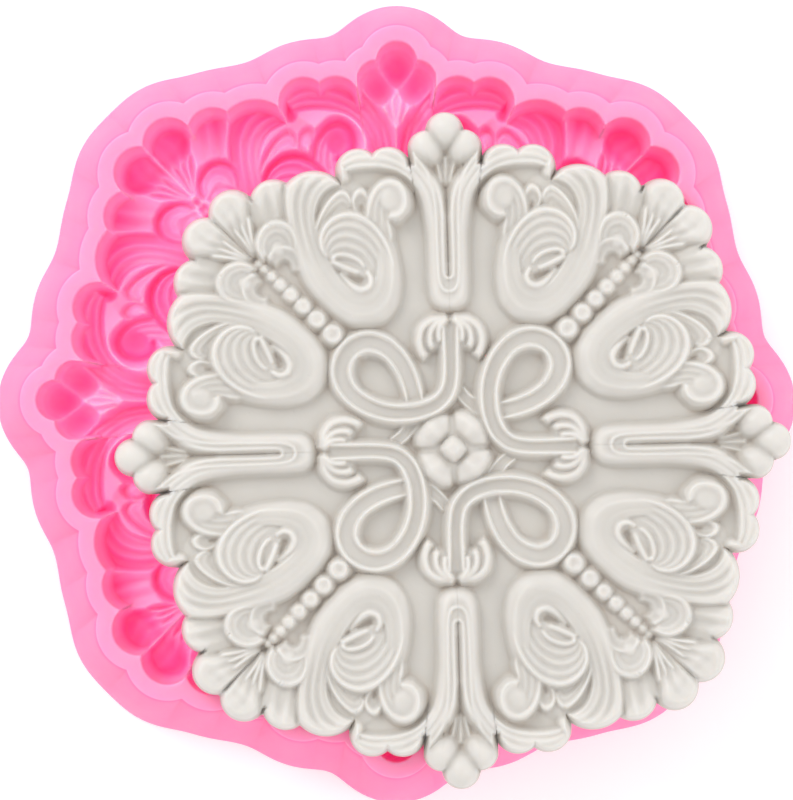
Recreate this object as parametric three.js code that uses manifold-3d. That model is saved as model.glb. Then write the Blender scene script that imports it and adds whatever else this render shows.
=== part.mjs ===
// A one-piece silicone mould for a round baroque medallion, with the medallion cast from it.
//
// Millimetres, +Z up. The origin is the middle of the mould's flat underside. The mould's
// cavity opens upwards. The casting lies on the mould's rim, face up, a little to one side.
//
// The ornament has four equal quarters. Its outer part is also mirrored about each of the four
// arms and diagonals, so it is described once, in one octant: l is the distance sideways from
// an arm, a the distance outwards along it. The four ribbons in the middle all turn one way.

import * as THREE from "three";
import { mergeVertices } from "three/addons/utils/BufferGeometryUtils.js";
import Module from "manifold-3d";

// ---- Driving dimensions ------------------------------------------------------------------

const MOULD_HEIGHT = 15;         // underside to rim
const RIM_WIDTH = 3.5;           // flat rim around the cavity
const FOOT_WIDTH = 9.7;          // cavity's edge to the foot of the sloping outer wall
const FOOT_BLEND = 0.8;          // how sharply the foot's waves meet, larger is sharper

const BACK_THICKNESS = 5.6;      // flat plate that the casting's relief stands on
const SHRINKAGE = 0.935;         // casting's size over the cavity's, once it has dried
const REST_GAP = 0.3;            // between the rim and the casting lying on it
const CASTING_X = 11.2;          // where the casting lies, from the mould's middle
const CASTING_Y = -9.9;
const CASTING_TURN = 1.5;        // degrees, anticlockwise from above

const ARC_STEPS = 3;             // straight edges along each scallop of the outline
const BUMP_SIDES = 6;            // sides of a rounded bump
const BUMP_UNDERSIDE = 0.2;      // how deep a bump's lower half is, over its upper half

// Scallops of the outline, from the arm's tip to the corner: middle (l, a) and radius.
const SCALLOPS = [
  [0, 67.9, 4.1],                // berry at the tip of the arm
  [4.0, 64.2, 4.0],              // the two berries behind it
  [12.2, 59.9, 5.0],             // flared husk, first lobe
  [18.6, 59.7, 5.0],             // flared husk, second lobe
  [28.2, 52.2, 8.0],             // large acanthus curl
  [36.8, 53.4, 5.2],             // small acanthus curl
  [45.6, 51.4, 5.2],             // half of the heart at the corner
];

// ---- Outline -----------------------------------------------------------------------------

const DEGREE = Math.PI / 180;

// Every scallop of the whole outline, as distance and bearing of its middle, and radius.
const scallops = [];
for (const [l, a, radius] of SCALLOPS) {
  for (const side of l > 0 ? [1, -1] : [1]) {
    for (let quarter = 0; quarter < 4; quarter += 1) {
      const bearing = Math.atan2(a, side * l) + quarter * 90 * DEGREE;
      scallops.push({ distance: Math.hypot(l, a), bearing, radius });
    }
  }
}

// Distance from the middle to the far side of one scallop, grown by offset, or null.
function reach(scallop, bearing, offset) {
  const turn = Math.atan2(
    Math.sin(bearing - scallop.bearing),
    Math.cos(bearing - scallop.bearing),
  );
  const radius = scallop.radius + offset;
  const square = radius ** 2 - (scallop.distance * Math.sin(turn)) ** 2;
  if (square < 0 || Math.abs(turn) > 1) {
    return null;
  }
  return scallop.distance * Math.cos(turn) + Math.sqrt(square);
}

// The outline's distance at a bearing, with the number of the scallop it lies on.
function edge(bearing, offset) {
  let far = 0;
  let index = -1;
  scallops.forEach((scallop, i) => {
    const distance = reach(scallop, bearing, offset);
    if (distance !== null && distance > far) {
      far = distance;
      index = i;
    }
  });
  return { far, index };
}

// The same distance with the scallops blended into waves.
function blendedEdge(bearing, offset, sharpness) {
  const { far } = edge(bearing, offset);
  let sum = 0;
  for (const scallop of scallops) {
    const distance = reach(scallop, bearing, offset);
    if (distance !== null) {
      sum += Math.exp((distance - far) * sharpness);
    }
  }
  return far + Math.log(sum) / sharpness;
}

// Bearings of the outline's corners: every change of scallop, and steps in between.
function cornerBearings(offset) {
  const fine = 0.1 * DEGREE;
  const changes = [];
  let last = edge(0, offset).index;
  for (let bearing = fine; bearing < 360 * DEGREE; bearing += fine) {
    const { index } = edge(bearing, offset);
    if (index !== last) {
      changes.push(bearing - fine / 2);
      last = index;
    }
  }
  const bearings = [];
  changes.forEach((start, i) => {
    const end = i + 1 < changes.length ? changes[i + 1] : changes[0] + 360 * DEGREE;
    for (let step = 0; step < ARC_STEPS; step += 1) {
      bearings.push(start + ((end - start) * step) / ARC_STEPS);
    }
  });
  return bearings;
}

function polar(distance, bearing) {
  return new THREE.Vector2(distance * Math.cos(bearing), distance * Math.sin(bearing));
}

const cavityBearings = cornerBearings(0);
const cavityOutline = cavityBearings.map((b) => polar(edge(b, 0).far, b));

// ---- Solids ------------------------------------------------------------------------------

const wasm = await Module();
wasm.setup();

// A closed geometry, moved by a matrix, as a solid.
function solid(geometry, matrix = new THREE.Matrix4()) {
  const bare = new THREE.BufferGeometry();
  bare.setAttribute("position", geometry.getAttribute("position").clone());
  if (geometry.index) {
    bare.setIndex(geometry.index.clone());
  }
  bare.applyMatrix4(matrix);
  const merged = mergeVertices(bare, 1e-4);
  const triVerts = Uint32Array.from(merged.index.array);
  if (matrix.determinant() < 0) {
    for (let i = 0; i < triVerts.length; i += 3) {
      [triVerts[i + 1], triVerts[i + 2]] = [triVerts[i + 2], triVerts[i + 1]];
    }
  }
  const vertProperties = Float32Array.from(merged.getAttribute("position").array);
  return new wasm.Manifold(new wasm.Mesh({ numProp: 3, vertProperties, triVerts }));
}

function geometryOf(manifold) {
  const mesh = manifold.getMesh();
  const geometry = new THREE.BufferGeometry();
  const position = new THREE.BufferAttribute(new Float32Array(mesh.vertProperties), 3);
  geometry.setAttribute("position", position);
  geometry.setIndex(new THREE.BufferAttribute(new Uint32Array(mesh.triVerts), 1));
  const split = geometry.toNonIndexed();
  split.computeVertexNormals();
  return split;
}

// A flat plate of the given plan, from one height to another.
function plate(points, bottom, top) {
  const geometry = new THREE.ExtrudeGeometry(new THREE.Shape(points), {
    depth: top - bottom,
    bevelEnabled: false,
  });
  return geometry.translate(0, 0, bottom);
}

// A smooth bump: an ellipsoid, its lower half flattened, with its middle at a height and
// turned about the vertical.
function bump(x, y, radii, middle, turn = 0) {
  const geometry = new THREE.SphereGeometry(1, BUMP_SIDES, 4);
  geometry.rotateX(90 * DEGREE);
  const position = geometry.getAttribute("position");
  for (let i = 0; i < position.count; i += 1) {
    position.setZ(i, Math.max(position.getZ(i), position.getZ(i) * BUMP_UNDERSIDE));
  }
  geometry.scale(radii[0], radii[1], radii[2]);
  geometry.rotateZ(turn * DEGREE);
  return geometry.translate(x, y, middle);
}

// A band that follows a path over the plate. Its section is given as [across, up] pairs.
function band(path, section, bottom, steps) {
  const curve = new THREE.CatmullRomCurve3(
    path.map(([x, y]) => new THREE.Vector3(x, y, bottom)),
    false,
    "centripetal",
  );
  const shape = new THREE.Shape(section.map(([across, up]) => new THREE.Vector2(-up, across)));
  return new THREE.ExtrudeGeometry(shape, { steps, extrudePath: curve, bevelEnabled: false });
}

// Sections of a band: a rounded back, or a channel between two raised rims.
function roundBack(halfWidth, height) {
  return [
    [-halfWidth, 0],
    [halfWidth, 0],
    [halfWidth * 0.55, height],
    [-halfWidth * 0.55, height],
  ];
}

function channel(halfWidth, height) {
  return [
    [-halfWidth, 0],
    [halfWidth, 0],
    [halfWidth * 0.7, height],
    [0, height * 0.72],
    [-halfWidth * 0.7, height],
  ];
}

// ---- Ornament ----------------------------------------------------------------------------

const ROOT = BACK_THICKNESS - 1;   // bands and bumps start inside the plate

// Parts of one octant, mirrored and turned into all eight. x is l and y is a.
function octantParts() {
  const parts = [];
  // Berry behind the tip, and the lobes along the edge, as low domes.
  parts.push(bump(4.0, 63.6, [3.6, 4.4, 5.0], 4.6));
  parts.push(bump(28.0, 52.0, [7.4, 7.6, 5.8], 4.6));
  parts.push(bump(36.8, 52.2, [4.4, 6.0, 4.8], 4.6));
  parts.push(bump(45.4, 51.0, [4.6, 5.0, 5.2], 4.6));
  // Acanthus scroll: the body sweeps round the bottom and up into the large curl.
  const body = [
    [14.2, 48.5], [12.5, 43], [12.0, 37], [12.5, 32.2], [15.0, 28.8], [18.6, 27.8],
    [22.4, 28.8], [26.4, 32.4], [29.2, 37.5], [30.6, 44],
  ];
  parts.push(band(body, roundBack(2.1, 6.0), ROOT, 8));
  const inner = [[14.6, 40.5], [16.0, 45.0], [19.6, 47.8], [23.2, 47.4], [25.3, 44.6], [25.2, 42.4]];
  parts.push(band(inner, roundBack(1.7, 6.8), ROOT, 4));
  // Hooked knob beside the husk, and the leaflet beside the beads.
  const hook = [[16.0, 48.6], [16.6, 52.4], [14.4, 54.8], [11.4, 54.6], [10.0, 52.4]];
  parts.push(band(hook, roundBack(1.9, 6.6), ROOT, 4));
  parts.push(bump(36.2, 44.2, [3.4, 3.6, 4.4], 4.6));
  return parts;
}

// Parts that lie across an arm or a diagonal, turned into all four quarters.
function quarterParts() {
  const parts = [];
  parts.push(bump(0, 67.5, [3.9, 3.9, 5.2], 4.6));
  // Husk: two rims side by side with a narrow slit, flaring outwards into two leaves.
  const half = [
    [2.2, 29.7], [4.0, 31.4], [4.6, 34.0], [4.6, 49.0], [6.0, 54.0], [8.4, 57.6], [12.0, 60.0],
    [17.0, 60.4], [21.6, 58.8], [23.0, 60.4], [21.4, 62.9], [18.6, 64.2], [15.4, 63.0],
    [12.2, 64.4], [9.0, 63.2], [5.6, 60.4], [2.6, 57.2], [1.2, 53.0], [0.6, 36.4],
  ];
  const mirrored = half.map(([l, a]) => [-l, a]).reverse();
  const plan = [...half, ...mirrored].map(([l, a]) => new THREE.Vector2(l, a));
  parts.push(plate(plan, ROOT, 9.0));
  // Row of beads along the diagonal, smaller and smaller outwards.
  let along = 24.9;
  for (const radius of [2.4, 2.1, 1.9, 1.65, 1.4, 1.2]) {
    parts.push(bump(along, along, [radius, radius, radius + 2.2], 4.6));
    along += (radius * 2 - 0.25) / Math.SQRT2;
  }
  // Fan of strands between the last bead and the heart, as one wedge.
  const fan = [[39.6, 39.6], [49.4, 43.6], [49.6, 49.6], [43.6, 49.4]];
  parts.push(plate(fan.map(([x, y]) => new THREE.Vector2(x, y)), ROOT, 7.2));
  return parts;
}

// Parts of the middle that turn one way: ribbon, the tassel at its start, and the bud.
function ribbonParts() {
  const parts = [];
  const loop = [
    [25.6, 0], [15.5, 0.1], [11.6, 1.3], [9.3, 4.0], [8.0, 8.0], [7.9, 13.0], [9.4, 18.2],
    [12.6, 21.8], [16.6, 23.1], [20.6, 22.0], [22.8, 18.4], [21.9, 14.0], [18.4, 10.4],
    [14.2, 8.6], [10.5, 7.7],
  ];
  parts.push(band(loop, channel(2.1, 5.6), ROOT, 16));
  for (const side of [1, -1]) {
    parts.push(band([[26.6, side * 1.8], [25.6, side * 3.2], [22.4, side * 3.3]],
      roundBack(1.1, 5.6), ROOT, 2));
    parts.push(band([[27.2, side * 2.4], [26.4, side * 5.2], [23.4, side * 6.2], [20.6, side * 5.2]],
      roundBack(1.2, 5.2), ROOT, 3));
  }
  parts.push(bump(3.8, 3.8, [1.9, 5.0, 5.4], 4.6, 45));
  return parts;
}

// The casting as it leaves the cavity, on its back at height 0, then moved by a matrix.
// hand is 1, or -1 for ribbons that turn the other way.
function casting(hand, place = new THREE.Matrix4()) {
  let whole = solid(plate(cavityOutline, 0, BACK_THICKNESS), place);
  const add = (geometry, quarter, mirrored) => {
    const matrix = place.clone();
    matrix.multiply(new THREE.Matrix4().makeRotationZ(quarter * 90 * DEGREE));
    if (mirrored) {
      matrix.multiply(new THREE.Matrix4().makeScale(-1, 1, 1));
    }
    whole = whole.add(solid(geometry, matrix));
  };
  for (let quarter = 0; quarter < 4; quarter += 1) {
    for (const part of octantParts()) {
      add(part, quarter, false);
      add(part, quarter, true);
    }
    for (const part of quarterParts()) {
      add(part, quarter, false);
    }
    for (const part of ribbonParts()) {
      add(part, hand > 0 ? quarter : -quarter, hand < 0);
    }
  }
  return whole.add(solid(bump(0, 0, [2.2, 2.2, 6.2], 4.8), place));
}

// ---- The two pieces ----------------------------------------------------------------------

// Outer block: a wavy foot below, the scalloped rim's edge above, a sloping wall between.
function block() {
  const bearings = cornerBearings(RIM_WIDTH);
  const foot = bearings.map((b) => polar(blendedEdge(b, FOOT_WIDTH, FOOT_BLEND), b));
  const rim = bearings.map((b) => polar(edge(b, RIM_WIDTH).far, b));
  const count = bearings.length;
  const positions = [];
  foot.forEach((point) => positions.push(point.x, point.y, 0));
  rim.forEach((point) => positions.push(point.x, point.y, MOULD_HEIGHT));
  positions.push(0, 0, 0, 0, 0, MOULD_HEIGHT);
  const index = [];
  for (let i = 0; i < count; i += 1) {
    const next = (i + 1) % count;
    index.push(i, next, count + next);
    index.push(i, count + next, count + i);
    index.push(2 * count, next, i);
    index.push(2 * count + 1, count + i, count + next);
  }
  const geometry = new THREE.BufferGeometry();
  geometry.setAttribute("position", new THREE.Float32BufferAttribute(positions, 3));
  geometry.setIndex(index);
  return solid(geometry);
}

// The cavity is the casting of the other hand, upside down, let into the block from above.
function mould() {
  const upsideDown = new THREE.Matrix4().makeTranslation(0, 0, MOULD_HEIGHT);
  upsideDown.multiply(new THREE.Matrix4().makeScale(1, 1, -1));
  const opening = solid(plate(cavityOutline, MOULD_HEIGHT - 1, MOULD_HEIGHT + 1));
  return geometryOf(block().subtract(casting(-1, upsideDown)).subtract(opening));
}

const silicone = new THREE.MeshStandardMaterial({
  color: 0xff8cc8,
  roughness: 0.45,
  metalness: 0,
  flatShading: true,
});
const clay = new THREE.MeshStandardMaterial({
  color: 0xe9e6e0,
  roughness: 0.5,
  metalness: 0,
  flatShading: true,
});

const group = new THREE.Group();

const mouldMesh = new THREE.Mesh(mould(), silicone);
mouldMesh.name = "silicone_mould";
group.add(mouldMesh);

const castingGeometry = geometryOf(casting(1));
castingGeometry.scale(SHRINKAGE, SHRINKAGE, SHRINKAGE);
const castingMesh = new THREE.Mesh(castingGeometry, clay);
castingMesh.name = "clay_casting";
castingMesh.position.set(CASTING_X, CASTING_Y, MOULD_HEIGHT + REST_GAP);
castingMesh.rotation.z = CASTING_TURN * DEGREE;
group.add(castingMesh);

export default group;
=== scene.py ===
# A one-piece silicone mould for a round baroque medallion, with a white casting out of it lying
# on its rim. Both surfaces come from one height map of the ornament: the casting wears it face
# up, and the mould's cavity is its impression, so there the middle turns the other way.
#
# The ornament is drawn in millimetres, at the cavity's size. Its outer part is mirrored about
# every arm and diagonal, so it is drawn once, in one octant: x is the distance sideways from an
# arm and y the distance outwards along it.

import math

import bpy
import numpy as np
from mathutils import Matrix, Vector


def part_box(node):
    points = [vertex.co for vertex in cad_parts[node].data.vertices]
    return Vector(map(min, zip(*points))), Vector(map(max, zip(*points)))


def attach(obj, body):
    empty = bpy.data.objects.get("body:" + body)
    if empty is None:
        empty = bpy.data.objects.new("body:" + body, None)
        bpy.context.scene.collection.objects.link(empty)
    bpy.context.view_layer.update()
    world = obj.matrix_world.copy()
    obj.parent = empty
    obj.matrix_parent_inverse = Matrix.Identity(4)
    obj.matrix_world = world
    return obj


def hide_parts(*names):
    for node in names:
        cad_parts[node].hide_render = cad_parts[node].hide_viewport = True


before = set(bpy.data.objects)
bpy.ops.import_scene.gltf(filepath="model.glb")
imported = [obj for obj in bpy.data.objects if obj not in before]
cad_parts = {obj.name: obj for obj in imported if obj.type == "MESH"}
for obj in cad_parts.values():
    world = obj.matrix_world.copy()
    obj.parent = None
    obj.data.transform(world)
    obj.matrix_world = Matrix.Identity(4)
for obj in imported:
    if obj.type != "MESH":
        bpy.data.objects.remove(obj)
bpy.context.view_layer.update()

MM = 0.001

# ---- Sizes -----------------------------------------------------------------------------------

RELIEF_TOP = 11.4        # highest point of the ornament, over the casting's back
GROUND = 5.6             # flat ground between the ornaments
UNDER = 1.2              # how far below the ground a raised part starts
RIM_WIDTH = 3.5          # flat rim round the cavity
FOOT_WIDTH = 9.7         # cavity's edge to the foot of the outer wall
FOOT_BLEND = 0.8         # how sharply the foot's waves meet
CASTING_TURN = 1.5       # degrees, anticlockwise from above

mould_low, mould_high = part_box("silicone_mould")
casting_low, casting_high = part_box("clay_casting")
MOULD_HEIGHT = (mould_high.z - mould_low.z) / MM
SHRINKAGE = (casting_high.z - casting_low.z) / MM / RELIEF_TOP
CASTING_X = (casting_low.x + casting_high.x) / 2 / MM
CASTING_Y = (casting_low.y + casting_high.y) / 2 / MM
CASTING_Z = casting_low.z / MM

CELL = 0.125             # cell of the height maps
STEP = 0.07              # spacing of the samples that fill them
SOFTNESS = 0.18          # blur of the finished maps
STEEPEST = 2.4           # steepest wall of the ornament, rise over run
DRAFT_PASSES = 16        # cells over which that steepness is kept
OCTANT_BOX = (-1, 18, 54, 74)        # x and y of the outer map's low and high corners
OCTANT_START = 18.5                  # from the middle, where the outer map is first used
QUARTER_BOX = (-14, -12, 32, 32)     # the same corners for the middle's map
BUD_RADIUS = 2.9         # of the bead in the very middle
BUD_SHOULDER = 2.6       # from the ground to the foot of its dome
GRID = 440               # cells along each side of the surface meshes
MEAN_RADIUS = 64.0       # of the circle that the inner mesh lines tend to
PLAIN_RADIUS = 61.5      # of the disc that lies inside every notch of the outline

CASTING_SIDE = 3.0       # height of the casting's upright side, below its rounded edge
CASTING_ROUND = 0.9      # how far inside the outline that edge has mostly risen
CAVITY_SIDE = 3.2        # depth of the cavity's upright side, at its edge
CAVITY_ROUND = 0.8       # how far inside the outline the cavity has mostly deepened
EDGE_RISE = 8.2          # of both, from the side to the full relief

# Scallops of the outline, from the arm's tip to the corner: middle and radius.
SCALLOPS = [
    (0, 67.9, 4.1),
    (4.0, 64.2, 4.0),
    (12.2, 59.9, 5.0),
    (18.6, 59.7, 5.0),
    (28.2, 52.2, 8.0),
    (36.8, 53.4, 5.2),
    (45.6, 51.4, 5.2),
]


# ---- Drawing on a height map ---------------------------------------------------------------------

def smooth(points, count):
    """A smooth curve through a few points, with each point at an equal share of it."""
    p = np.asarray(points, float)
    p = np.vstack([2 * p[0] - p[1], p, 2 * p[-1] - p[-2]])
    t = np.linspace(0, len(p) - 3, count)
    i = np.minimum(t.astype(int), len(p) - 4)
    f = (t - i)[:, None]
    a, b, c, d = p[i], p[i + 1], p[i + 2], p[i + 3]
    cubic = 3 * b - a - 3 * c + d
    return 0.5 * (2 * b + (c - a) * f + (2 * a - 5 * b + 4 * c - d) * f ** 2 + cubic * f ** 3)


def spread(values, share):
    """A few values at equal steps along a strip, read off at each share of its length."""
    values = np.broadcast_to(values, max(2, np.size(values)))
    return np.interp(share, np.linspace(0, 1, len(values)), values)


class Map:
    """Heights over a rectangle."""

    def __init__(self, x_low, y_low, x_high, y_high):
        self.x_low, self.y_low = x_low, y_low
        self.shape = (int((y_high - y_low) / CELL) + 2, int((x_high - x_low) / CELL) + 2)
        self.z = np.full(self.shape, GROUND)

    def highest(self, x, y, z):
        """The highest sample in each cell, and nothing where there is none."""
        i = np.rint((y.ravel() - self.y_low) / CELL).astype(int)
        j = np.rint((x.ravel() - self.x_low) / CELL).astype(int)
        inside = (i >= 0) & (j >= 0) & (i < self.shape[0]) & (j < self.shape[1])
        cell = (i * self.shape[1] + j)[inside]
        z = z.ravel()[inside]
        order = np.argsort(z, kind="stable")
        found = np.full(self.z.size, np.nan)
        found[cell[order]] = z[order]
        return found.reshape(self.shape)

    def add(self, x, y, z):
        """Raises the map to these samples where they are higher."""
        self.z = np.fmax(self.z, self.highest(x, y, z))

    def cut(self, x, y, depth):
        """Lowers the map under these samples."""
        self.z = self.z - np.nan_to_num(self.highest(x, y, depth))

    def finish(self):
        """Lays the steepest walls back to a moulder's draft, then rounds every edge a little."""
        for _ in range(DRAFT_PASSES):
            for across in (0, 1):
                z = np.pad(self.z, 1, mode="edge")
                near = (z[:-2, 1:-1], z[2:, 1:-1]) if across else (z[1:-1, :-2], z[1:-1, 2:])
                self.z = np.maximum(self.z, np.maximum(*near) - STEEPEST * CELL)
        reach = int(3 * SOFTNESS / CELL) + 1
        weights = np.exp(-0.5 * (np.arange(-reach, reach + 1) * CELL / SOFTNESS) ** 2)
        weights /= weights.sum()
        for axis in (0, 1):
            pad = [(reach, reach) if a == axis else (0, 0) for a in (0, 1)]
            z = np.pad(self.z, pad, mode="edge")
            rows = np.arange(self.shape[axis])
            self.z = sum(w * np.take(z, rows + k, axis) for k, w in enumerate(weights))
        return self

    def at(self, x, y):
        """The height at any points, between the cells' own heights."""
        u = np.clip((x - self.x_low) / CELL, 0, self.shape[1] - 1.001)
        v = np.clip((y - self.y_low) / CELL, 0, self.shape[0] - 1.001)
        j, i = u.astype(int), v.astype(int)
        fu, fv = u - j, v - i
        low = self.z[i, j] * (1 - fu) + self.z[i, j + 1] * fu
        high = self.z[i + 1, j] * (1 - fu) + self.z[i + 1, j + 1] * fu
        return low * (1 - fv) + high * fv


def patch(left, right):
    """Samples between two rails: x, y, share u along them, share v from left to right."""
    longest = max(np.linalg.norm(np.diff(rail, axis=0), axis=1).max() for rail in (left, right))
    count = int(longest * (len(left) - 1) / STEP) + 2
    a, b = smooth(left, count), smooth(right, count)
    across = int(np.linalg.norm(a - b, axis=1).max() / STEP) + 2
    u, v = np.meshgrid(np.linspace(0, 1, count), np.linspace(0, 1, across), indexing="ij")
    x = a[:, :1] * (1 - v) + b[:, :1] * v
    y = a[:, 1:] * (1 - v) + b[:, 1:] * v
    return x, y, u, v


def rails(path, half_widths):
    """The two edges of a band that follows a path."""
    count = 8 * len(path)
    middle = smooth(path, count)
    along = np.gradient(middle, axis=0)
    along /= np.linalg.norm(along, axis=1)[:, None]
    half = spread(half_widths, np.linspace(0, 1, count))[:, None]
    side = np.stack([-along[:, 1], along[:, 0]], axis=1) * half
    return middle + side, middle - side


def round_in(share, width):
    """A quarter round: 0 where share is 0, and 1 from width on."""
    rest = 1 - np.clip(share / width, 0, 1)
    return np.sqrt(1 - rest * rest)


def strip(m, left, right, tops, section, ends=(0, 0), floor=GROUND - UNDER):
    """A raised strip between two rails. section(u, v) is its height, as a share of tops."""
    x, y, u, v = patch(left, right)
    share = section(u, v)
    if ends[0]:
        share = share * round_in(u, ends[0])
    if ends[1]:
        share = share * round_in(1 - u, ends[1])
    m.add(x, y, floor + (spread(tops, u) - floor) * share)


def band(m, path, half_widths, tops, section, ends=(0, 0), floor=GROUND - UNDER):
    """A raised strip along a path."""
    strip(m, *rails(path, half_widths), tops, section, ends, floor)


def groove(m, path, half_widths, depth, ends=(0.1, 0.1)):
    """A round-bottomed hollow along a path."""
    x, y, u, v = patch(*rails(path, half_widths))
    share = np.sqrt(1 - (2 * v - 1) ** 2) * round_in(u, ends[0]) * round_in(1 - u, ends[1])
    m.cut(x, y, spread(depth, u) * share)


def disc(x, y, radius_x, radius_y, turn):
    """Samples over an ellipse: x, y and the share of its radius."""
    line = np.linspace(-1, 1, int(2 * max(radius_x, radius_y) / STEP) + 2)
    u, v = np.meshgrid(line, line)
    share = np.hypot(u, v)
    inside = share <= 1
    u, v, share = u[inside] * radius_x, v[inside] * radius_y, share[inside]
    c, s = math.cos(math.radians(turn)), math.sin(math.radians(turn))
    return x + c * u - s * v, y + s * u + c * v, share


def ball(m, x, y, radii, top, turn=0, power=2.0):
    """A dome on an ellipse. A higher power makes it flatter on top."""
    px, py, share = disc(x, y, *radii, turn)
    floor = GROUND - UNDER
    m.add(px, py, floor + (top - floor) * (1 - share ** power) ** (1 / power))


def dimple(m, x, y, radius, depth):
    """A small round hollow."""
    px, py, share = disc(x, y, radius, radius, 0)
    m.cut(px, py, depth * (1 - share ** 2))


# Sections of a strip, as the share of its height at u along it and v across it.

def waves(share, count):
    """Soft hollows side by side: 0 on the ridges between them and 1 in their middles."""
    return 0.5 - 0.5 * np.cos(2 * math.pi * count * share)


def bump(share, middle, width):
    """A soft ridge: 1 in its middle, and almost 0 two widths away."""
    return np.exp(-((share - middle) / width) ** 2)


def dome(power=2.4):
    """A round section, flatter on top with a higher power."""
    return lambda u, v: (1 - np.abs(2 * v - 1) ** power) ** (1 / power)


def shell(count, depth, lip=0.1, fall=0.25, rise=0.05):
    """A lip along the left rail, then soft hollows that fall away towards the right one."""
    def section(u, v):
        hollows = waves(np.clip((v - lip) / (1 - lip), 0, 1), count)
        surface = round_in(v, lip) * (1 - rise - fall * v ** 1.3) + rise * bump(v, lip, 0.7 * lip)
        return surface - depth * hollows
    return section


def ribbon(u, v):
    """A thin rim along each edge, and a hollow between them."""
    out = np.abs(2 * v - 1)
    return round_in(1 - out, 0.16) * (0.72 + 0.28 * bump(out, 0.8, 0.15)) - 0.04 * (1 - out)


# ---- The ornament's outer part, in one octant ------------------------------------------------------

def husk(m):
    """A hairpin with a slit along it, whose two sides open into fluted leaves, and a web under them."""
    outer = [(8.4, 55), (12, 58.6), (18, 60.4), (22, 60.4)]
    inner = [(14, 53), (15.6, 55), (18, 56.6), (21.4, 57.6)]
    strip(m, outer, inner, [6.4, 6.9, 7.2, 7.4], lambda u, v: 1 - 0.1 * v)
    outer = [(0, 28.7), (2.2, 29.1), (4.0, 31.0), (4.6, 34.6), (4.7, 41), (4.8, 47), (5.6, 53), (7.6, 56.4),
             (10.4, 58.5), (13.6, 59.3), (16.6, 59.5), (19.6, 59.3), (22.4, 58.6)]
    inner = [(0, 34.0), (0, 34.4), (0, 35.4), (0, 37.4), (0, 41.5), (0.3, 47.5), (1.4, 53.5), (3.6, 58.2),
             (6.4, 62.0), (10.2, 65.0), (14.6, 65.9), (19.4, 65.4), (23.8, 61.8)]

    def section(u, v):
        late = np.clip((u - 0.38) / 0.22, 0, 1)
        side = round_in(v, 0.5) * (0.94 + 0.06 * np.cos(math.pi * v) * np.clip(6 * u, 0, 1))
        lip = 0.09 * bump(v, 0.1, 0.07) * np.clip(3 * u - 2, 0, 1)
        leaf = round_in(v, 0.16) * 0.93 + lip - (0.03 + 0.08 * u) * waves(1 - v, 3.3) * round_in(v, 0.1)
        return side * (1 - late) + leaf * late
    tops = [9.2, 9.2, 9.3, 9.4, 9.4, 9.4, 9.6, 9.7, 9.8, 9.9, 9.9, 9.8, 9.4]
    strip(m, outer, inner, tops, section, ends=(0, 0.03))
    ridges = [
        ([(0, 36.0), (0.7, 36.3), (1.05, 37.6), (1.1, 43), (1.1, 50), (1.6, 54), (3.0, 58.0)], 9.4, 0.5),
        ([(0, 33.2), (1.3, 33.8), (2.1, 36.2), (2.3, 43), (2.4, 50), (3.0, 55), (4.8, 59.6)], 9.5, 0.55),
    ]
    for path, top, half in ridges:
        band(m, path, [half] * 5 + [0.6, 0.5], [top] * 6 + [top - 0.4], dome(2), ends=(0, 0.1), floor=7.2)
    groove(m, [(0, 36.2), (0, 46), (0, 58)], [0.34, 0.4, 0.5], 3.2, ends=(0.04, 0.05))


def tip(m):
    """Three berries at the arm's end, and the little stems behind them."""
    band(m, [(0, 56), (0, 62)], [0.4, 0.8], [6.2, 6.4], dome(2))
    band(m, [(0.8, 56.5), (2.2, 62)], [0.3, 0.7], [6.8, 6.6], dome(2))
    ball(m, 4.2, 64.2, (3.8, 4.6), 9.9, turn=-14)
    ball(m, 0, 67.7, (4.25, 4.4), 10.2)


def corner(m):
    """The heart at the diagonal, its fan of strands, and the frond beside it."""
    left = [(40.8, 42.6), (41.2, 45.8), (41.6, 48.8), (42.0, 51.6), (42.4, 54.2), (44.0, 56.2), (46.8, 56.6),
            (49.6, 54.8)]
    right = [(41.8, 41.8), (43.4, 43.6), (45.0, 45.4), (46.4, 47.0), (47.6, 48.4), (48.8, 49.8),
             (50.0, 50.8), (51.0, 51.2)]

    def leaf(u, v):
        late = np.clip((u - 0.3) / 0.3, 0, 1)
        rim = 0.05 * bump(v, 0.22, 0.1) * late
        strands = 0.07 * (1 - late) + 0.03
        round_off = 1 - (1 - round_in(v, 0.16)) * np.where(v < 0.5, 1, np.clip(2 * u - 0.9, 0, 1))
        return round_off * (0.96 - 0.12 * v * v) + rim - strands * waves(v, 3) + 0.05 * bump(u, 0.52, 0.08)
    strip(m, left, right, [7.4, 8.0, 8.8, 9.8, 10.4, 10.6, 10.6, 10.2], leaf, ends=(0.05, 0))
    for k in range(3):
        path = [(40.6 + 0.3 * k, 42.0 - 0.2 * k), (41.3 + 0.75 * k, 45.0 - 0.3 * k),
                (41.8 + 1.3 * k, 48.0 - 0.7 * k), (42.2 + 1.7 * k, 51.2 - 1.6 * k)]
        band(m, path, [0.35, 0.55, 0.65, 0.55], [7.8, 9.0, 9.4, 9.2], dome(2), ends=(0.1, 0.2))
    left = [(33.4, 46), (33.8, 50), (34.2, 54), (35.0, 57.4), (37.0, 59.0)]
    right = [(39.6, 45), (41.0, 48.6), (42.0, 52.0), (42.3, 55.4), (40.4, 58.4)]

    def frond(u, v):
        facet = 0.06 * bump(v, 0.26, 0.1)
        return dome(5)(u, v) * (0.95 - 0.08 * v) + facet - 0.06 * waves(v, 3)
    strip(m, left, right, [7.8, 8.6, 9.4, 10.2, 10.5], frond)


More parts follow.
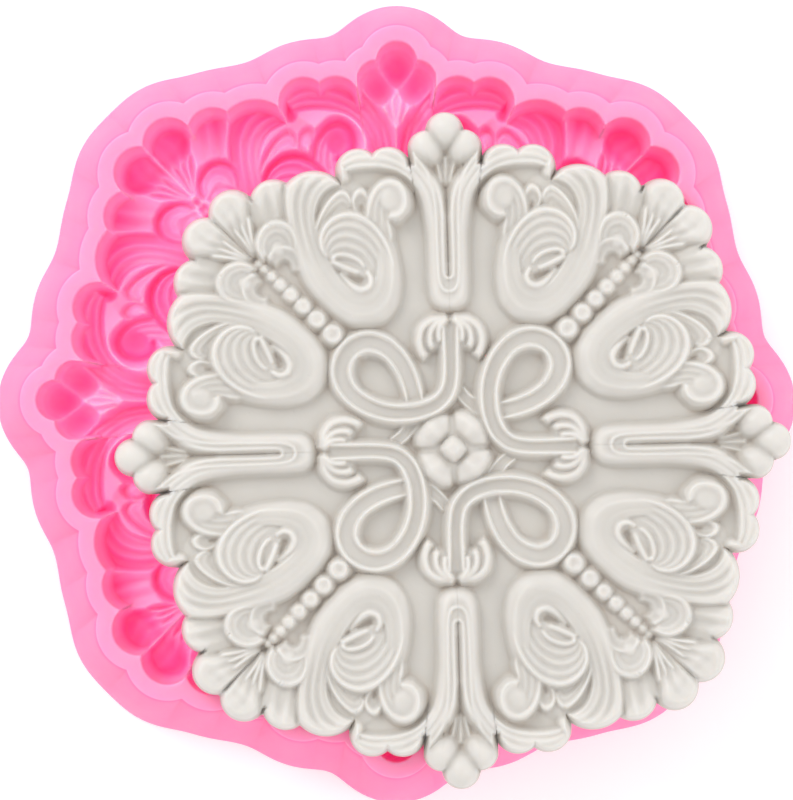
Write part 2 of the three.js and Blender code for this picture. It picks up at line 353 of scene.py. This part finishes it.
def scroll(m):
    """The acanthus leaf that runs round the eye and up into the large curl."""
    outer = [(12.4, 48), (10.9, 44.0), (10.0, 39.5), (9.8, 34.5), (11.0, 29.8), (14.4, 26.4), (19.2, 25.6),
             (23.4, 27.2), (27.4, 30.8), (30.6, 35.0), (32.3, 39.8), (33.4, 45), (34.3, 50.6), (34.3, 55.4),
             (32.6, 59.4), (29.4, 61.6), (25.6, 62.0), (22.4, 60.6), (20.6, 58.0)]
    inner = [(17, 46.5), (15.6, 43), (15.0, 40), (15.2, 37), (16.0, 34.8), (17.2, 33.6), (18.8, 33.2),
             (20.8, 34.0), (22.6, 36.0), (24.4, 38.6), (26.0, 41.4), (27.2, 44.6), (28.0, 48.0), (28.0, 51),
             (27.0, 53.8), (25.4, 55.6), (24.0, 56.4), (23.0, 56.9), (22.2, 57.4)]

    def section(u, v):
        late = np.clip((u - 0.52) / 0.14, 0, 1)
        left = np.clip((0.36 - u) / 0.12, 0, 1)
        lines = 0.03 * waves(np.clip(v / 0.8, 0, 1), 2) * left + 0.012 * waves(v, 5)
        edging = 0.025 * bump(v, 0.1, 0.04) + 0.02 * bump(v, 0.24, 0.05)
        body = 0.25 * round_in(v, 0.12) + 0.73 * round_in(v, 0.6) - 0.1 * v ** 2
        early = body - lines + edging * (1 - left)
        lipped = round_in(v, 0.13) * (0.94 - 0.17 * v ** 1.4) + 0.07 * bump(v, 0.16, 0.09)
        inside = np.clip(v / 0.2, 0, 1) * np.clip((1 - v) / 0.12, 0, 1)
        return early * (1 - late) + late * (lipped - 0.085 * waves(v, 3.6) * inside)
    tops = [8.8, 9.4, 9.7, 9.8, 9.8, 9.8, 9.8, 9.8, 9.9, 10.1, 10.5, 10.9, 10.9, 10.5]
    strip(m, outer, inner, tops, section, ends=(0, 0.04))
    ball(m, 21.8, 58.4, (1.8, 2.3), 9.6, turn=-20)


def small_fronds(m):
    """Two little fronds between the hook and the large curl."""
    ball(m, 22.6, 53, (6.4, 5.0), 7.8, turn=-30, power=4)
    outer = [(20.0, 51.6), (20.6, 54.6), (22.4, 55.6), (24.8, 53.8), (26.8, 50.6), (27.9, 47.2),
             (27.7, 44.0), (26.4, 41.8)]
    inner = [(21.0, 50.6), (21.6, 51.2), (22.4, 51.2), (23.8, 50.2), (25.4, 48.2), (26.3, 46), (26.5, 44),
             (26.0, 42.2)]
    strip(m, outer, inner, [8.8, 9.2, 9.4, 9.5, 9.3, 9.0, 8.6], shell(2, 0.06, lip=0.2, fall=0.2),
          ends=(0.06, 0.05))
    outer = [(16.4, 51), (16.6, 54.6), (17.8, 56.0), (19.4, 55.4), (20.2, 53.4), (19.8, 51.4), (18.6, 50.2)]
    inner = [(17.6, 50.8), (17.8, 51.8), (18.0, 52.2), (18.3, 52.2), (18.5, 51.8), (18.4, 51.4), (18.2, 51)]
    strip(m, outer, inner, [8.8, 9.2, 9.3, 9.2, 8.9], shell(1, 0.06, lip=0.26, fall=0.24))


def hook(m):
    """The rolled knob beside the husk."""
    outer = [(16.6, 40), (18.0, 46.0), (17.6, 51.4), (16.4, 54.8), (14.4, 57.1), (11.9, 57.9), (9.5, 57.0),
             (8.1, 54.8), (7.9, 52.2), (8.8, 50.0), (10.6, 48.9), (12.2, 48.9)]
    inner = [(12.0, 40), (11.9, 45.6), (12.5, 48.8), (12.6, 50.4), (12.5, 51.2), (12.2, 51.5), (11.8, 51.5),
             (11.6, 51.3), (11.6, 51.0), (11.7, 50.8), (11.9, 50.7), (12.1, 50.6)]

    def section(u, v):
        smooth_head = np.clip((u - 0.32) / 0.3, 0, 1) * (v > 0.2)
        fluted = shell(3, 0.07, lip=0.2, fall=0.06, rise=0.05)(u, v)
        return fluted + 0.07 * smooth_head * waves((v - 0.2) / 0.8, 3)
    tops = [7.6, 9.4, 10.0, 10.3, 10.5, 10.6, 10.5, 10.4, 10.2]
    strip(m, outer, inner, tops, section)
    ball(m, 11.8, 53.0, (3.4, 3.7), 10.3, turn=-20, power=3)


def inner_spiral(m):
    """The leaf's inner strands, which arch over the eye."""
    outer = [(10.6, 35), (11.2, 40.4), (12.8, 44.8), (15.4, 48.4), (18.8, 50.6), (22.4, 50.7), (25.4, 48.9),
             (27.0, 45.8), (26.8, 42.8), (25.6, 41.2)]
    inner = [(16.4, 34.4), (16.8, 37.2), (17.8, 39.2), (19.4, 40.6), (21.2, 41.2), (22.6, 41.3),
             (23.6, 41.1), (24.2, 40.8), (24.6, 40.6), (24.8, 40.4)]
    tops = [8.6, 9.5, 10.1, 10.5, 10.6, 10.6, 10.4, 9.9]
    strip(m, outer, inner, tops, shell(4, 0.08, lip=0.1, fall=0.2, rise=0.06), ends=(0.1, 0.03))
    strip(m, [(15, 38), (17, 42), (21, 44), (25, 42.4)], [(17.6, 35), (19.6, 36.4), (22.4, 38), (25.2, 40)],
          [8.4, 8.6, 8.6, 8.4], lambda u, v: 1 - 0.06 * v)


def eye(m):
    """The scroll's middle: a teardrop hollow between a rolled lip and a slanting ridge."""
    groove(m, [(17.9, 36.0), (19.4, 36.5), (21.2, 37.5)], [0.6, 0.75, 0.4], 1.3, ends=(0.25, 0.4))
    upper = [(17.4, 38.2), (18.6, 40.0), (20.6, 41.2), (22.8, 41.6), (24.4, 41.2)]
    band(m, upper, [0.6, 0.7, 0.75, 0.8, 0.8], [9.0, 9.5, 9.7, 9.8, 9.6], dome(2), ends=(0.15, 0.1), floor=6)
    band(m, [(18.4, 37.5), (20.8, 38.4), (23.0, 39.4), (25.0, 40.4)], [0.8, 1.0, 1.1, 1.0],
         [9.0, 9.4, 9.6, 9.6], dome(2), ends=(0.15, 0.1), floor=5.8)
    rolled = [(17.2, 37.8), (16.4, 36.2), (16.9, 34.6), (18.4, 34.0), (20.0, 34.6), (21.4, 35.9),
              (22.8, 37.6)]
    band(m, rolled, [0.8, 1.1, 1.25, 1.25, 1.15, 0.95, 0.6], [9.2, 9.7, 9.9, 9.8, 9.5, 9.0, 8.4],
         dome(2), floor=6)
    ball(m, 24.2, 41.0, (1.0, 1.5), 9.9, turn=30)


def leaflets(m):
    """Two cupped leaflets beside the beads."""
    outer = [(31.6, 42.4), (31.7, 45.6), (33.2, 48.4), (36.2, 49.4), (39.0, 48.2), (40.5, 45.4),
             (40.4, 42.8), (39.2, 40.8)]
    inner = [(34.2, 42.8), (34.5, 44.0), (35.2, 44.8), (36.2, 45.1), (37.1, 44.7), (37.7, 43.8), (37.8, 43),
             (37.7, 42.2)]
    strip(m, outer, inner, [9.2, 10.0, 10.5, 10.5, 10.3, 9.8, 9.2],
          shell(2, 0.05, lip=0.18, fall=0.22, rise=0.06), ends=(0.05, 0.05))
    ball(m, 36, 43.6, (3.2, 3.0), 8.8)
    outer = [(30.7, 37.8), (30.9, 41.0), (32.3, 43.4), (34.8, 44.3), (37.3, 43.4), (38.8, 41.0)]
    inner = [(32.9, 38.4), (33.1, 39.8), (33.8, 40.8), (34.8, 41.1), (35.8, 40.7), (36.6, 39.6)]
    strip(m, outer, inner, [8.6, 9.0, 9.2, 9.1, 8.6], shell(1, 0.05, lip=0.24, fall=0.3, rise=0.07),
          ends=(0.06, 0.06))


def beads(m):
    """A row of beads along the diagonal, smaller and smaller outwards, each with a dimple."""
    radii = [2.75, 2.45, 2.15, 1.9, 1.6, 1.35, 1.1, 0.9]
    place = 24.8
    for radius, following in zip(radii, radii[1:] + [0]):
        ball(m, place, place, (radius, radius), GROUND + 1.5 + 1.2 * radius)
        dimple(m, place, place, 0.56 * radius, 0.62 * radius)
        place += 0.88 * (radius + following) / math.sqrt(2)


def octant():
    m = Map(*OCTANT_BOX)
    for part in (husk, tip, corner, scroll, small_fronds, hook, inner_spiral, eye, leaflets, beads):
        part(m)
    return m.finish()


# ---- The ornament's middle, one of four equal parts -------------------------------------------------

def loop(m):
    """The ribbon: along the arm, round a loop over the diagonal, and under its own start."""
    under = [(7.5, 7.2), (5.4, 8.6), (3.2, 10.4), (1.6, 12.4)]
    band(m, under, [1.6, 1.5, 1.4, 1.3], [7.8, 7.6, 7.4, 7.0], ribbon)
    path = [(27.6, 0), (22, 0), (16, 0.1), (12.2, 0.9), (9.7, 3.1), (8.3, 6.3), (7.8, 9.5), (7.9, 12.8),
            (8.8, 16.3), (10.6, 19.6), (13.2, 22.1), (16.4, 23.2), (19.6, 22.6), (22.0, 20.6), (23.0, 17.6),
            (22.2, 14.4), (20.0, 11.7), (17.0, 9.8), (13.8, 8.6), (10.6, 7.9), (8.2, 7.6)]
    halves = [1.8, 1.75, 1.7, 1.75, 1.85, 1.9, 1.95, 2.0, 2.05, 2.15, 2.2, 2.3, 2.35, 2.4, 2.4, 2.35, 2.25,
              2.2, 2.1, 2.0, 2.0]
    tops = [9.6, 9.5, 9.5, 9.7, 9.8, 9.6, 9.4, 9.3, 9.3, 9.2, 9.1, 9.0, 8.5, 7.8]
    band(m, path, halves, tops, ribbon, ends=(0.02, 0))


def palmette(m):
    """The tassel of curled fingers at the ribbon's start."""
    fingers = [
        ([(27.6, 1.0), (27.2, 3.8), (25.6, 5.9), (23.0, 6.6), (20.6, 6.1), (19.4, 5.2)],
         [1.0, 1.3, 1.4, 1.35, 1.25, 1.1], [9.1, 9.1, 8.9, 8.8, 8.7, 8.6]),
        ([(27.4, 0.9), (26.6, 2.6), (25.0, 4.0), (22.9, 4.3), (21.2, 3.8)],
         [0.9, 1.15, 1.2, 1.1, 0.9], [9.5, 9.5, 9.4, 9.2, 9.0]),
        ([(27.0, 1.2), (25.6, 2.3), (23.8, 2.5), (22.6, 2.3)], [0.8, 0.95, 0.9, 0.7], [9.8, 9.8, 9.5, 9.2]),
    ]
    for side in (1, -1):
        ball(m, 24.2, side * 3.6, (3.4, 3.4), 8.0, power=4)
        for path, halves, tops in fingers:
            band(m, [(x, side * y) for x, y in path], halves, tops, dome(2.2), ends=(0, 0.1))


def folded(u, v):
    """A plump leaf with a fold along its middle and a crease on each side of the fold."""
    across = 0.05 * bump(u, 0.5, 0.14) - 0.025 * bump(u, 0.26, 0.06) - 0.025 * bump(u, 0.74, 0.06)
    return dome(3)(u, v) * (0.95 + across - 0.06 * v)


def sepal(m):
    """One of the four folded leaves round the middle."""
    ball(m, 0, 0, (7.4, 7.4), 8.4, power=4)
    outer = [(0.1, 8.0), (2.9, 8.0), (5.7, 6.0), (7.3, 3.3), (7.6, 0.5)]
    inner = [(0.1, 2.9), (0.9, 2.5), (1.8, 1.8), (2.5, 0.9), (3.1, 0.3)]
    strip(m, outer, inner, [8.8, 10.2, 10.6, 10.2, 8.8], folded, ends=(0.09, 0.09))


def quarter():
    m = Map(*QUARTER_BOX)
    for part in (loop, palmette, sepal):
        part(m)
    return m.finish()


OCTANT = octant()
QUARTER = quarter()


def bud(x, y):
    """The four-sided bead in the very middle."""
    squareness = 1.4
    share = (np.abs(x) ** squareness + np.abs(y) ** squareness) ** (1 / squareness) / BUD_RADIUS
    rise = np.sqrt(np.clip(1 - share ** 2.2, 0, 1))
    foot = GROUND + BUD_SHOULDER
    return np.where(share < 1, foot + (RELIEF_TOP - foot) * rise, 0)


def height(x, y, hand=1):
    """The ornament's height. hand is 1, or -1 for a middle that turns the other way."""
    near, far = np.minimum(np.abs(x), np.abs(y)), np.maximum(np.abs(x), np.abs(y))
    z = np.where(far < OCTANT_START, GROUND, OCTANT.at(near, far))
    u_low, v_low, u_high, v_high = QUARTER_BOX
    u, v = hand * x, y
    for _ in range(4):
        inside = (u > u_low) & (u < u_high) & (v > v_low) & (v < v_high)
        z = np.where(inside, np.maximum(z, QUARTER.at(u, v)), z)
        u, v = v, -u
    return np.maximum(z, bud(x, y))


# ---- Outline -----------------------------------------------------------------------------------

def reaches(bearing, offset):
    """Distance to the far side of every scallop at each bearing, or 0 where it is missed."""
    rows = []
    for x, y, radius in SCALLOPS:
        for side in (1, -1) if x else (1,):
            for quarter in range(4):
                turn = bearing - math.atan2(y, side * x) - quarter * math.pi / 2
                turn = np.arctan2(np.sin(turn), np.cos(turn))
                distance = math.hypot(x, y)
                square = (radius + offset) ** 2 - (distance * np.sin(turn)) ** 2
                hit = (square > 0) & (np.abs(turn) < 1)
                far = distance * np.cos(turn) + np.sqrt(np.where(hit, square, 0))
                rows.append(np.where(hit, far, 0))
    return np.array(rows)


def edge(bearing, offset=0.0):
    """The outline's distance from the middle, grown by offset."""
    return reaches(bearing, offset).max(axis=0)


def depth_inside(x, y):
    """Distance to the outline, for points up to a few millimetres inside it."""
    deepest = np.maximum(PLAIN_RADIUS - np.hypot(x, y), 0)
    for a, b, radius in SCALLOPS:
        for side in (1, -1) if a else (1,):
            for quarter in range(4):
                turn = math.atan2(b, side * a) + quarter * math.pi / 2
                reach = math.hypot(a, b)
                along = x * math.cos(turn) + y * math.sin(turn)
                across = y * math.cos(turn) - x * math.sin(turn)
                past = along - np.clip(along, 0, reach)
                deepest = np.maximum(deepest, radius - np.hypot(past, across))
    return deepest


def blended_edge(bearing, offset, sharpness):
    """The edge with its scallops blended into waves."""
    rows = reaches(bearing, offset)
    far = rows.max(axis=0)
    total = np.where(rows > 0, np.exp((rows - far) * sharpness), 0).sum(axis=0)
    return far + np.log(total) / sharpness


# ---- Meshes ------------------------------------------------------------------------------------

def round_grid(n):
    """A square grid of points pulled onto a disc: share of the radius, bearing, faces, border."""
    line = np.linspace(-1, 1, n + 1)
    u, v = np.meshgrid(line, line)
    wide = np.abs(u) >= np.abs(v)
    radius = np.where(wide, u, v)
    small, large = np.where(wide, v, u), np.where(radius == 0, 1, radius)
    turn = math.pi / 4 * small / large
    turn = np.where(wide, turn, math.pi / 2 - turn)
    x, y = radius * np.cos(turn), radius * np.sin(turn)
    index = np.arange((n + 1) ** 2).reshape(n + 1, n + 1)
    faces = np.stack([index[:-1, :-1], index[:-1, 1:], index[1:, 1:], index[1:, :-1]], axis=-1)
    border = np.concatenate([index[0, :-1], index[:-1, -1], index[-1, :0:-1], index[:0:-1, 0]])
    return np.hypot(x, y).ravel(), np.arctan2(y, x).ravel(), faces.reshape(-1, 4), border


SHARE, BEARING, FACES, BORDER = round_grid(GRID)
EDGE = edge(BEARING)


def surface_points():
    """Where the grid's points lie: evenly spaced in the middle, along the outline at the edge."""
    radius = SHARE * (MEAN_RADIUS + (EDGE - MEAN_RADIUS) * SHARE ** 3)
    x, y = radius * np.cos(BEARING), radius * np.sin(BEARING)
    return x, y, depth_inside(x, y)


def ring(bearing, radius, level):
    """A loop of points round the object."""
    z = np.broadcast_to(level, bearing.shape)
    return np.stack([radius * np.cos(bearing), radius * np.sin(bearing), z], axis=1)


def solid(name, points, loops):
    """A closed mesh: the gridded top, loops of points that go down from its border, a flat base."""
    count = len(BORDER)
    vertices = np.vstack([points] + loops)
    ids = [BORDER]
    for k in range(len(loops)):
        ids.append(len(points) + k * count + np.arange(count))
    faces = [FACES]
    for a, b in zip(ids[:-1], ids[1:]):
        faces.append(np.stack([a, b, np.roll(b, -1), np.roll(a, -1)], axis=1))
    quads = np.vstack(faces)
    corners = np.concatenate([quads.ravel(), ids[-1][::-1]])
    starts = np.arange(len(quads) + 1) * 4
    mesh = bpy.data.meshes.new(name)
    mesh.vertices.add(len(vertices))
    mesh.vertices.foreach_set("co", (vertices * MM).astype(np.float32).ravel())
    mesh.loops.add(len(corners))
    mesh.loops.foreach_set("vertex_index", corners.astype(np.int32))
    mesh.polygons.add(len(starts))
    mesh.polygons.foreach_set("loop_start", starts.astype(np.int32))
    mesh.update(calc_edges=True)
    mesh.validate()
    mesh.polygons.foreach_set("use_smooth", np.ones(len(mesh.polygons), dtype=bool))
    piece = bpy.data.objects.new(name, mesh)
    bpy.context.scene.collection.objects.link(piece)
    return piece


def attribute(piece, name, values):
    """A number on each point of a mesh, for its material."""
    full = np.zeros(len(piece.data.vertices), dtype=np.float32)
    full[:len(values)] = values
    piece.data.attributes.new(name, "FLOAT", "POINT").data.foreach_set("value", full)


def blurred(values, passes):
    """Values on the grid, smoothed over their neighbours."""
    z = values.reshape(GRID + 1, GRID + 1)
    for _ in range(passes):
        p = np.pad(z, 1, mode="edge")
        z = (p[:-2, 1:-1] + p[2:, 1:-1] + p[1:-1, :-2] + p[1:-1, 2:] + 2 * z) / 6
    return z.ravel()


def clay_casting(material):
    x, y, inside = surface_points()
    lip = CASTING_SIDE + EDGE_RISE * (1 - np.exp(-inside / CASTING_ROUND))
    z = np.minimum(height(x, y), lip)
    points = np.stack([x, y, z], axis=1)
    bearing, radius = BEARING[BORDER], EDGE[BORDER]
    loops = [ring(bearing, radius + 0.02, 1.6), ring(bearing, radius, 0.3), ring(bearing, radius - 0.3, 0)]
    piece = solid("clay_casting_relief", points, loops)
    # How far each point lies below its surroundings, negative where it stands above them: the clay's colour
    # paints shade in the hollows and highlight on the raised parts from it.
    attribute(piece, "hollow", np.clip((blurred(z, 60) - z) / 1.6, -1, 1))
    turn = math.radians(CASTING_TURN)
    piece.data.materials.append(material)
    piece.scale = (SHRINKAGE,) * 3
    piece.rotation_euler.z = turn
    piece.location = Vector((CASTING_X, CASTING_Y, CASTING_Z)) * MM
    piece.data.transform(piece.matrix_basis)
    piece.matrix_basis.identity()
    return piece


def silicone_mould(material):
    x, y, inside = surface_points()
    wall = CAVITY_SIDE + EDGE_RISE * (1 - np.exp(-inside / CAVITY_ROUND))
    depth = np.minimum(height(x, y, hand=-1), wall)
    points = np.stack([x, y, MOULD_HEIGHT - depth], axis=1)
    bearing = BEARING[BORDER]
    inner = EDGE[BORDER]
    rim = edge(bearing, RIM_WIDTH)
    foot = blended_edge(bearing, FOOT_WIDTH, FOOT_BLEND)
    loops = [
        ring(bearing, inner + 0.1, MOULD_HEIGHT - 1.6),
        ring(bearing, inner + 0.2, MOULD_HEIGHT - 0.5),
        ring(bearing, inner + 0.32, MOULD_HEIGHT - 0.15),
        ring(bearing, inner + 0.6, MOULD_HEIGHT),
        ring(bearing, (inner + rim) / 2, MOULD_HEIGHT),
        ring(bearing, rim - 0.5, MOULD_HEIGHT),
        ring(bearing, rim - 0.22, MOULD_HEIGHT - 0.06),
        ring(bearing, rim - 0.04, MOULD_HEIGHT - 0.24),
    ]
    rim_loops = len(loops) - 1
    for share in (0.05, 0.1, 0.2, 0.3, 0.4, 0.5, 0.6, 0.7, 0.8, 0.9, 0.95):
        loops.append(ring(bearing, rim + (foot - rim) * share, MOULD_HEIGHT * (1 - share)))
    loops.append(ring(bearing, foot - 0.1, 0.3))
    loops.append(ring(bearing, foot - 0.4, 0))
    piece = solid("silicone_mould_body", points, loops)
    # The silicone's colour paints light and shade from this depth.
    attribute(piece, "depth", depth / RELIEF_TOP)
    # Painted shade on the outer wall: its share of the deeper pink, full at the top and half at the foot.
    painted_wall_shade = np.linspace(1, 0.5, len(loops) - rim_loops)
    inside = np.zeros(len(points) + rim_loops * len(BORDER))
    outside = np.concatenate([inside, np.repeat(painted_wall_shade, len(BORDER))])
    attribute(piece, "outside", outside)
    piece.data.materials.append(material)
    return piece


# ---- Materials ---------------------------------------------------------------------------------

class Nodes:
    """A short way to write a material's node tree."""

    def __init__(self, name):
        self.material = bpy.data.materials.new(name)
        self.material.use_nodes = True
        self.tree = self.material.node_tree
        self.shader = self.tree.nodes["Principled BSDF"]
        self.place = self.add("ShaderNodeTexCoord").outputs["Object"]

    def add(self, kind, **settings):
        node = self.tree.nodes.new(kind)
        for key, value in settings.items():
            if hasattr(node, key):
                setattr(node, key, value)
            else:
                node.inputs[key].default_value = value
        return node

    def link(self, source, target):
        self.tree.links.new(source, target)

    def set(self, **values):
        for key, value in values.items():
            self.shader.inputs[key.replace("_", " ")].default_value = value

    def noise(self, scale, detail=3.0, roughness=0.5):
        node = self.add("ShaderNodeTexNoise", Scale=scale, Detail=detail, Roughness=roughness)
        self.link(self.place, node.inputs["Vector"])
        return node.outputs["Fac"]

    def value(self, name):
        return self.add("ShaderNodeAttribute", attribute_name=name).outputs["Fac"]

    def ramp(self, source, stops):
        node = self.add("ShaderNodeValToRGB")
        colours = node.color_ramp
        while len(colours.elements) < len(stops):
            colours.elements.new(0.5)
        for element, (place, colour) in zip(colours.elements, stops):
            element.position = place
            element.color = (*colour, 1)
        self.link(source, node.inputs["Fac"])
        return node.outputs["Color"]

    def remap(self, source, low, high, to_low, to_high):
        node = self.add("ShaderNodeMapRange")
        for name, number in (("From Min", low), ("From Max", high), ("To Min", to_low), ("To Max", to_high)):
            node.inputs[name].default_value = number
        self.link(source, node.inputs["Value"])
        return node.outputs["Result"]

    def mix(self, amount, a, b, blend="MIX"):
        node = self.add("ShaderNodeMix", data_type="RGBA", blend_type=blend)
        for socket, item in ((node.inputs[0], amount), (node.inputs[6], a), (node.inputs[7], b)):
            if isinstance(item, (int, float)):
                socket.default_value = item
            elif isinstance(item, tuple):
                socket.default_value = (*item, 1)
            else:
                self.link(item, socket)
        return node.outputs[2]

    def bump(self, source, distance, strength=1.0):
        node = self.add("ShaderNodeBump", Strength=strength, Distance=distance)
        self.link(source, node.inputs["Height"])
        previous = self.shader.inputs["Normal"]
        if previous.links:
            self.link(previous.links[0].from_socket, node.inputs["Normal"])
        self.link(node.outputs["Normal"], previous)


def clay():
    n = Nodes("white_clay")
    hollow = n.value("hollow")
    # Painted shade and highlight: darker and warmer the deeper a point lies in a hollow, lighter on the
    # raised lips.
    shade_and_highlight = n.ramp(n.remap(hollow, -0.3, 0.8, 0, 1),
                  [(0.0, (0.72, 0.695, 0.66)), (0.3, (0.63, 0.603, 0.562)), (0.6, (0.62, 0.588, 0.541)),
                   (1.0, (0.6, 0.545, 0.485))])
    cloud = n.remap(n.noise(60, 4), 0.35, 0.65, 0.965, 1.0)
    colour = n.mix(1.0, shade_and_highlight, n.ramp(cloud, [(0.0, (0, 0, 0)), (1.0, (1, 1, 1))]), "MULTIPLY")
    n.link(colour, n.shader.inputs["Base Color"])
    pits = n.add("ShaderNodeTexVoronoi", feature="F1", Scale=420.0)
    n.link(n.place, pits.inputs["Vector"])
    n.bump(n.remap(pits.outputs["Distance"], 0.0, 0.14, 0.0, 1.0), 0.00012, 0.35)
    n.bump(n.noise(900, 3), 0.00005, 0.5)
    n.link(n.remap(n.noise(140, 3), 0.3, 0.7, 0.42, 0.56), n.shader.inputs["Roughness"])
    n.set(Subsurface_Weight=0.6, Subsurface_Scale=0.0025, IOR=1.5)
    n.shader.inputs["Subsurface Radius"].default_value = (1.0, 0.85, 0.7)
    return n.material


def silicone():
    n = Nodes("pink_silicone")
    depth = n.value("depth")
    # Painted light and shade: lighter over the cavity's ground, against the shade there, and a darker,
    # deeper pink in the deepest pits.
    colour = n.ramp(depth, [(0.0, (1.0, 0.36, 0.57)), (0.42, (1.0, 0.44, 0.7)), (0.56, (1.0, 0.46, 0.73)),
                            (0.76, (1.0, 0.33, 0.62)), (0.86, (1.0, 0.18, 0.48)), (0.95, (1.0, 0.09, 0.35))])
    # Painted shade: the outer wall is a deeper pink at its top, lighter towards its foot.
    colour = n.mix(n.value("outside"), colour, (1.0, 0.18, 0.4))
    cloud = n.remap(n.noise(25, 2), 0.3, 0.7, 0.97, 1.0)
    colour = n.mix(1.0, colour, n.ramp(cloud, [(0.0, (0, 0, 0)), (1.0, (1, 1, 1))]), "MULTIPLY")
    n.link(colour, n.shader.inputs["Base Color"])
    n.bump(n.noise(700, 3), 0.00006, 0.4)
    n.link(n.remap(n.noise(90, 2), 0.3, 0.7, 0.36, 0.46), n.shader.inputs["Roughness"])
    n.set(Subsurface_Weight=0.7, Subsurface_Scale=0.008, IOR=1.41)
    n.set(Emission_Color=(1.0, 0.03, 0.2, 1), Emission_Strength=0.2)      # a red-pink glow: painted light that keeps the shaded cavity and pits bright
    n.shader.inputs["Subsurface Radius"].default_value = (1.0, 0.25, 0.4)
    return n.material


def floor_material():
    n = Nodes("pale_floor")
    n.set(Base_Color=(0.985, 0.985, 0.985, 1), Roughness=0.9)
    n.set(Emission_Color=(1, 1, 1, 1), Emission_Strength=0.1)     # lit from below, against shadows
    return n.material


# ---- The two pieces ----------------------------------------------------------------------------

mould = silicone_mould(silicone())
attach(mould, "mould")
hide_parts("silicone_mould")

casting = clay_casting(clay())
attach(casting, "casting")
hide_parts("clay_casting")

# ---- Studio ------------------------------------------------------------------------------------

def floor():
    mesh = bpy.data.meshes.new("studio_floor")
    half = 3.0
    corners = [(-half, -half, 0), (half, -half, 0), (half, half, 0), (-half, half, 0)]
    mesh.from_pydata(corners, [], [(0, 1, 2, 3)])
    piece = bpy.data.objects.new("studio_floor", mesh)
    bpy.context.scene.collection.objects.link(piece)
    piece.data.materials.append(floor_material())
    piece.location.z = mould_low.z - 0.0002


def lamp(name, place, size, power, colour=(1, 1, 1)):
    light = bpy.data.lights.new(name, "AREA")
    light.shape = "DISK"
    light.size = size
    light.energy = power
    light.color = colour
    holder = bpy.data.objects.new(name, light)
    bpy.context.scene.collection.objects.link(holder)
    holder.location = place
    holder.rotation_euler = (-Vector(place)).to_track_quat("-Z", "Y").to_euler()


def studio():
    lamp("key_light", (-0.55, 0.65, 0.75), 0.6, 4.6)
    lamp("fill_light", (0.8, -0.25, 0.8), 0.9, 2.8)
    world = bpy.data.worlds.new("studio_world")
    world.use_nodes = True
    background = world.node_tree.nodes["Background"]
    background.inputs["Color"].default_value = (1, 1, 1, 1)
    background.inputs["Strength"].default_value = 0.84
    scene = bpy.context.scene
    scene.world = world
    scene.view_settings.view_transform = "Standard"
    scene.view_settings.look = "None"


def camera():
    distance = 0.6                       # from the rim's plane
    tilt = math.radians(2)
    view_height = 0.160                  # of the rim's plane, over the picture's height
    data = bpy.data.cameras.new("camera")
    data.sensor_width = 36
    data.lens = 36 * distance / view_height
    holder = bpy.data.objects.new("camera", data)
    bpy.context.scene.collection.objects.link(holder)
    target = Vector((0, 0, mould_high.z))
    back = Vector((0, -math.sin(tilt), math.cos(tilt)))
    holder.location = target + back * distance
    holder.rotation_mode = "QUATERNION"
    holder.rotation_quaternion = (-back).to_track_quat("-Z", "Y")
    bpy.context.scene.camera = holder


floor()
studio()
camera()
